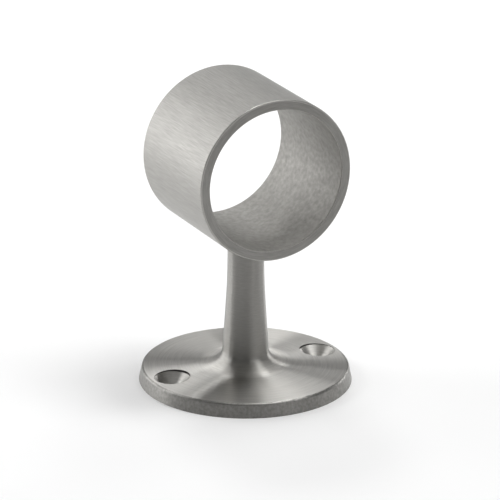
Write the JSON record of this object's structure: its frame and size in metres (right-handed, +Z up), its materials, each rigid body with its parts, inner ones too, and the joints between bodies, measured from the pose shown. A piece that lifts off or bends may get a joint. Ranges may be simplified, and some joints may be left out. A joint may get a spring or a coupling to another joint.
{
  "type": "foot rail center bracket",
  "caption": "Foot rail center bracket in satin stainless steel: a tube collar on a tapered stem that flares into a round screw-down flange; it carries a bar rail clear of the floor.",
  "frame": {"origin": "centre of the flange's flat underside, on the floor", "axes": "+Z up along the stem, Y along the rail, X through the two screw holes"},
  "size_m": [0.076, 0.076, 0.1104],
  "materials": {
    "satin_stainless": "satin brushed stainless steel, brushed along the rail on the collar and round the stem and flange"
  },
  "bodies": {
    "root": {"bracket": "satin_stainless"}
  },
  "joints": []
}
